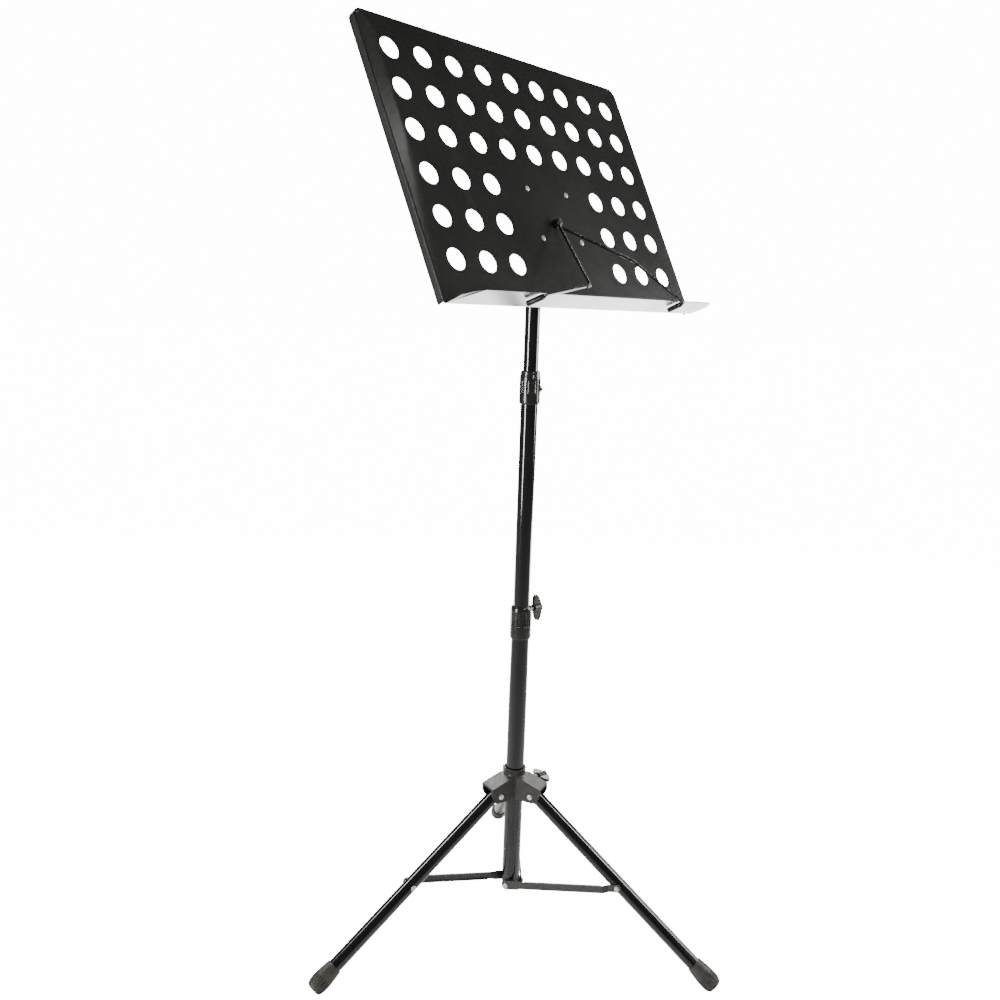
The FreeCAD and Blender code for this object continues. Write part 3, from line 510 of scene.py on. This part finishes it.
# node: body, slot, finish, bevel width in millimetres, bevel rings
softened = {
    "desk_bracket": ("desk", "black_coat", "satinBlackCoat", 0.4, 2),
    "hub_body": ("hub", "hub_plastic", "hubGrey", 0.7, 3),
    "tube_end_block": ("base", "hub_plastic", "hubGrey", 0.5, 2),
    "tilt_head": ("head", "clutch_plastic", "clutchBlack", 0.8, 3),
    "hub_knob": ("hub_screw", "knob_plastic", "knobBlack", 1.3, 4),
    "middle_knob": ("middle_screw", "knob_plastic", "knobBlack", 1.3, 4),
    "upper_knob": ("upper_screw", "knob_plastic", "knobBlack", 1.3, 4),
    "tilt_wing_nut": ("tilt_nut", "knob_plastic", "knobBlack", 1.1, 4),
    "tilt_bolt": ("desk", "screw_steel", "zincSteel", 0.4, 2),
    "tilt_washers": ("desk", "screw_steel", "zincSteel", 0.2, 2),
    "hub_bush": ("hub", "bush_plastic", "innerPlastic", 0.2, 2),
    "hub_knob_screw": ("hub_screw", "screw_steel", "zincSteel", 0.3, 2),
    "middle_knob_screw": ("middle_screw", "screw_steel", "zincSteel", 0.3, 2),
    "upper_knob_screw": ("upper_screw", "screw_steel", "zincSteel", 0.3, 2)}
softening = {"from": 28, "sharp": 40}  # degrees: edges sharper than these are bevelled, or left as creases
for armName in ("rear", "right", "left"):
    softened[armName + "_strut"] = (armName + "_link", "black_coat", "strutCoat", 0.3, 2)

for softNode, (softBody, softSlot, softFinish, width, rings) in softened.items():
    soft = refined(softNode, softNode + "Shell")
    applyModifier(soft, "BEVEL", width=width * mm, segments=rings, limit_method="ANGLE",
                  angle_limit=math.radians(softening["from"]), use_clamp_overlap=True)
    finishPiece(soft, softFinish, softBody, [softNode], sharp=softening["sharp"])
    weighNormals(soft)
print("softened pieces are ready:", len(softened))

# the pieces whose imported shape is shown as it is
plainPieces = {"middle_clutch_bush": "innerPlastic", "upper_clutch_bush": "innerPlastic",
               "middle_tube_glide": "innerPlastic", "top_rod_glide": "innerPlastic",
               "left_page_arm": "wireBlack", "right_page_arm": "wireBlack"}
for plainNode, plainFinish in plainPieces.items():
    nodes[plainNode].data.materials.clear()
    nodes[plainNode].data.materials.append(materials[plainFinish])

# the desk's sheet, one smooth skin over its plate, rim and shelf
sheetNodes = ["desk_plate", "desk_rim", "desk_shelf"]
sheet = joinPieces([refined(node, node + "Skin") for node in sheetNodes], "deskSheet")
mergeDoubles(sheet)
finishPiece(sheet, "satinBlackCoat", "desk", sheetNodes, sharp=25)
weighNormals(sheet)
print("desk sheet is ready")


# millimetres and degrees; legs point down from their pivots at the angle from the vertical
azimuths = {"rear": 0, "right": 120, "left": 240}
legs = {"pivotRadius": 30, "pivotHeight": 203.4, "angle": 53.3, "tail": 8.5, "end": 322, "radius": 9, "wall": 1.2,
        "edge": 0.4, "sides": 72, "footStart": 294.5, "strutRivet": 162, "strutBase": 64}


def legPoint(distance):
    angle = math.radians(legs["angle"])
    return Vector((legs["pivotRadius"] + distance * math.sin(angle), 0,
                   legs["pivotHeight"] - distance * math.cos(angle))) * mm


legDirection = legPoint(1) - legPoint(0)
legOutline = ringOutline(legs["radius"], legs["radius"] - legs["wall"], -legs["tail"], legs["end"], legs["edge"])
legModel = turnShape("legTube", legOutline, legPoint(0), legDirection, legs["sides"])
for armName, azimuth in azimuths.items():
    leg = turnAboutMast(copyPiece(legModel, armName + "LegTube"), azimuth)
    finishPiece(leg, "glossBlackTube", armName + "_leg", [armName + "_leg_tube"])
    weighNormals(leg)
bpy.data.objects.remove(legModel)

footShape = {"outline": [(9.2, -0.1), (9.9, 0.0), (10.35, 0.3), (10.5, 0.9), (10.6, 2.5), (11.0, 5.5), (11.6, 10),
                         (12.1, 15), (12.45, 20), (12.5, 24), (12.4, 27.5), (12.0, 30.5), (11.4, 33), (10.5, 35),
                         (9.3, 36.4), (8.0, 37), (0.8, 37)],
             "sides": 80, "grooves": 18, "grooveSides": 14, "grooveRadius": 1.1, "grooveOut": 12.6,
             "grooveFrom": 19, "grooveTo": 33, "bevel": 0.25, "bevelFrom": 40}


def makeFoot():
    # one rubber foot along +Z with short lengthwise grooves, then laid on the leg and cut flat at the floor
    foot = turnShape("foot", footShape["outline"], (0, 0, 0), (0, 0, 1), footShape["sides"])
    length = (footShape["grooveTo"] - footShape["grooveFrom"]) * mm
    middle = (footShape["grooveTo"] + footShape["grooveFrom"]) / 2 * mm
    out = footShape["grooveOut"] * mm
    cutters = []
    for index in range(footShape["grooves"]):
        angle = math.tau * index / footShape["grooves"]
        clearSelection()
        bpy.ops.mesh.primitive_cylinder_add(
            vertices=footShape["grooveSides"], radius=footShape["grooveRadius"] * mm, depth=length,
            location=(out * math.cos(angle), out * math.sin(angle), middle))
        cutters.append(bpy.context.object)
    comb = joinPieces(cutters, "grooveComb")
    applyModifier(foot, "BOOLEAN", object=comb, operation="DIFFERENCE", solver="EXACT")
    bpy.data.objects.remove(comb)
    applyModifier(foot, "BEVEL", width=footShape["bevel"] * mm, segments=2, limit_method="ANGLE",
                  angle_limit=math.radians(footShape["bevelFrom"]))
    standAlong(foot, legPoint(legs["footStart"]), legDirection)
    makeActive(foot)
    bpy.ops.object.mode_set(mode="EDIT")
    bpy.ops.mesh.select_all(action="SELECT")
    bpy.ops.mesh.bisect(plane_co=(0, 0, 0), plane_no=(0, 0, 1), use_fill=True, clear_inner=True)
    bpy.ops.object.mode_set(mode="OBJECT")
    return foot


footModel = makeFoot()
for armName, azimuth in azimuths.items():
    foot = turnAboutMast(copyPiece(footModel, armName + "FootSkin"), azimuth)
    finishPiece(foot, "footRubber", armName + "_leg", [armName + "_foot"])
    weighNormals(foot)
bpy.data.objects.remove(footModel)
print("legs and feet are ready")


def domeOutline(radius, height, start, outward=1):
    # rounded rivet head from its seat to its top
    share = ((1.0, 0.0), (1.0, 0.22), (0.94, 0.5), (0.80, 0.74), (0.58, 0.9), (0.30, 0.98), (0.05, 1.0))
    return [(radius * r, start + outward * height * h) for r, h in share]


def pinOutline(radius, low, high, lowHead=None, highHead=None):
    # shank between two heights, with a dome of (radius, height) at either end
    outline = domeOutline(*lowHead, low, -1)[::-1] if lowHead else [(radius * 0.9, low)]
    outline += [(radius, low + 0.01), (radius, high - 0.01)]
    return outline + (domeOutline(*highHead, high) if highHead else [(radius * 0.9, high)])


def armPin(name, outline, x, z, azimuth):
    # a pin across an arm: its own axis is the arm's sideways axis
    pin = turnShape(name, outline, (x * mm, 0, z * mm), (0, 1, 0), 40)
    return turnAboutMast(pin, azimuth)


# millimetres: shank radius, where it starts and ends, then the radius and height of a head at either end
pins = {"pivot": (2.5, -13.5, 13.5, (3.8, 2.0), (3.8, 2.0)), "base": (2.0, -16.1, -6.6, (3.6, 2.0)),
        "leg": (2.0, -9.2, 9.0, None, (3.6, 2.0)), "strut": (2.0, -11.2, -9.8, (3.6, 2.0)),
        "desk": (2.0, -3.25, 0.0, (3.2, 1.4), (3.6, 1.6))}
legEye = legPoint(legs["strutRivet"]) / mm
pivotPins, basePins = [], []
for armName, azimuth in azimuths.items():
    pivotPins.append(armPin("pivotPin", pinOutline(*pins["pivot"]), legs["pivotRadius"], legs["pivotHeight"],
                            azimuth))
    basePins.append(armPin("basePin", pinOutline(*pins["base"]), 0, legs["strutBase"], azimuth))
    legRivet = armPin(armName + "LegRivet", pinOutline(*pins["leg"]), legEye.x, legEye.z, azimuth)
    finishPiece(legRivet, "brightNickel", armName + "_leg", [armName + "_leg_rivet"])
    strutRivet = armPin(armName + "StrutRivet", pinOutline(*pins["strut"]), legEye.x, legEye.z, azimuth)
    finishPiece(strutRivet, "brightNickel", armName + "_link", [armName + "_strut_rivet"])
finishPiece(joinPieces(pivotPins, "pivotPins"), "brightNickel", "hub", ["leg_pivot_pins"])
finishPiece(joinPieces(basePins, "basePins"), "brightNickel", "base", ["strut_base_rivets"])
print("rivets of the base are ready")


# the desk's own axes, and a point on it: across, up the plate, and in front of its face, in millimetres
deskAcross = -Vector(joints["desk_tilt"]["axis"])
deskOut = Vector(joints["left_arm_swing"]["axis"])
deskUp = deskOut.cross(deskAcross)
desk = {"tiltPoint": Vector(joints["desk_tilt"]["pos_m"]), "face": 32, "rivetAcross": 37.3, "rivetUp": 32.3}


def deskPoint(across, up, front):
    return desk["tiltPoint"] + (deskAcross * across + deskUp * up + deskOut * (desk["face"] + front)) * mm


deskPins = []
for across in (-desk["rivetAcross"], desk["rivetAcross"]):
    for up in (-desk["rivetUp"], desk["rivetUp"]):
        deskPins.append(turnShape("deskPin", pinOutline(*pins["desk"]), deskPoint(across, up, 0), deskOut, 40))
finishPiece(joinPieces(deskPins, "deskRivets"), "brightNickel", "desk", ["desk_rivets"])

# the page arms' stud: its place across and up the desk, and its outline
studPlan = {"place": (-6, -12), "sides": 48,
            "outline": [(3.9, -3.0), (4.2, -2.8), (4.2, -2.4), (2.4, -2.4), (2.4, -0.05), (4.4, 0.0), (4.4, 0.4),
                        (4.2, 0.5), (2.4, 0.5), (2.4, 8.2)] + domeOutline(4.4, 1.5, 8.3)}
stud = turnShape("armStud", studPlan["outline"], deskPoint(*studPlan["place"], 0), deskOut, studPlan["sides"])
finishPiece(stud, "knobBlack", "desk", ["page_arm_stud"])

# name: corner where the wire turns back under the shelf, and the wire's end
hooks = {"right": ((146, -130.8, 46), (148, -129.6, 23)), "left": ((-131, -130.8, 46), (-135, -129.6, 23))}
# the sleeve's mouth, and its closed end counted from the wire's end
sleevePlan = {"gap": 3.2, "sides": 40,
              "mouth": [(1.55, -1.8), (2.2, -1.7), (2.4, -1.4), (2.4, -0.5), (2.1, -0.2), (2.8, 0.0), (3.2, 0.2),
                        (3.3, 0.6)],
              "tip": [(3.3, 0.4), (3.15, 1.1), (2.7, 1.7), (1.8, 2.1), (0.4, 2.2)]}
for hookName, (corner, end) in hooks.items():
    start, finish = deskPoint(*corner), deskPoint(*end)
    direction = (finish - start).normalized()
    length = (finish - start).length / mm - sleevePlan["gap"]
    sleeveOutline = sleevePlan["mouth"] + [(radius, length + past) for radius, past in sleevePlan["tip"]]
    sleeve = turnShape(hookName + "SleeveSkin", sleeveOutline, start + direction * sleevePlan["gap"] * mm,
                       direction, sleevePlan["sides"])
    finishPiece(sleeve, "vinylSleeve", hookName + "_arm", [hookName + "_arm_sleeve"])

# a short ring of the same vinyl over the left arm's lower bend
shoePlan = {"start": (-45, -115.8, 45.2), "end": (-53, -117.2, 45.3), "sides": 32,
            "outline": [(1.6, 0), (2.1, 0.2), (2.3, 0.7), (2.3, 7.3), (2.1, 7.8), (1.6, 8)]}
shoeStart = deskPoint(*shoePlan["start"])
shoe = turnShape("leftElbowShoe", shoePlan["outline"], shoeStart, deskPoint(*shoePlan["end"]) - shoeStart,
                 shoePlan["sides"])
finishPiece(shoe, "vinylSleeve", "left_arm", None)
print("desk rivets, stud and sleeves are ready")
